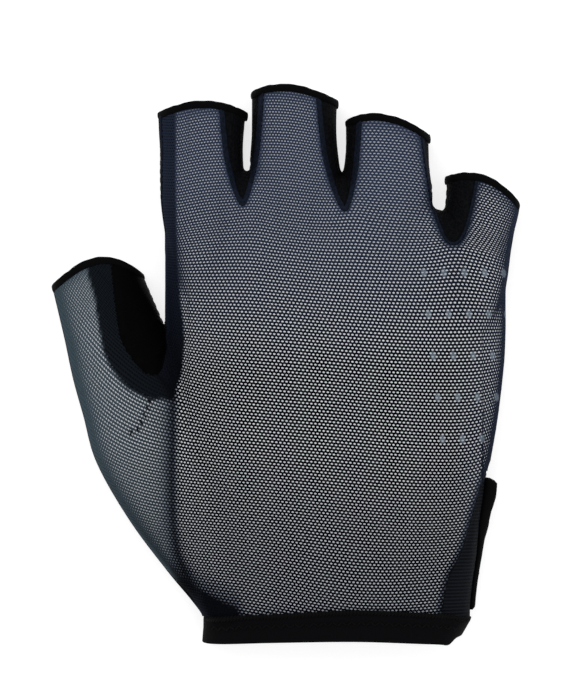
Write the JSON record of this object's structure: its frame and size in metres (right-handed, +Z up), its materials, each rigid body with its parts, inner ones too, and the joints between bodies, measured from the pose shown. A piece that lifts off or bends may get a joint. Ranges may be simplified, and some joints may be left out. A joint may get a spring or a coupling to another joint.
{
  "type": "fingerless cycling glove",
  "caption": "Right-hand fingerless cycling glove lying on its palm: net back, leather palm, bound finger openings, elastic hem and a wrist closure tab.",
  "frame": {"origin": "on the surface the glove lies on, under the middle of its bounding box", "axes": "+Y from the wrist hem to the fingertips, +X to the little-finger side, +Z up from the palm to the back of the hand"},
  "size_m": [0.1382, 0.164, 0.024],
  "materials": {
    "net": "dark blue-black net over a pale ground",
    "leather": "soft matte black",
    "knit": "matte black ribbed knit",
    "binding": "matte black elastic",
    "cuff_knit": "matte black knit with overlock stitching",
    "ribbed_stretch": "dark blue-grey fine rib",
    "tab_fabric": "matte black brushed nylon"
  },
  "bodies": {
    "root": {"back_panel": "net", "palm_panel": "leather", "thumb_gusset": "leather", "wrist_gore": "ribbed_stretch", "fourchette_index_middle": "knit", "fourchette_middle_ring": "knit", "fourchette_ring_little": "knit", "binding_thumb": "binding", "binding_index": "binding", "binding_middle": "binding", "binding_ring": "binding", "binding_little": "binding", "cuff_band": "cuff_knit", "closure_tab": "tab_fabric"}
  },
  "joints": []
}
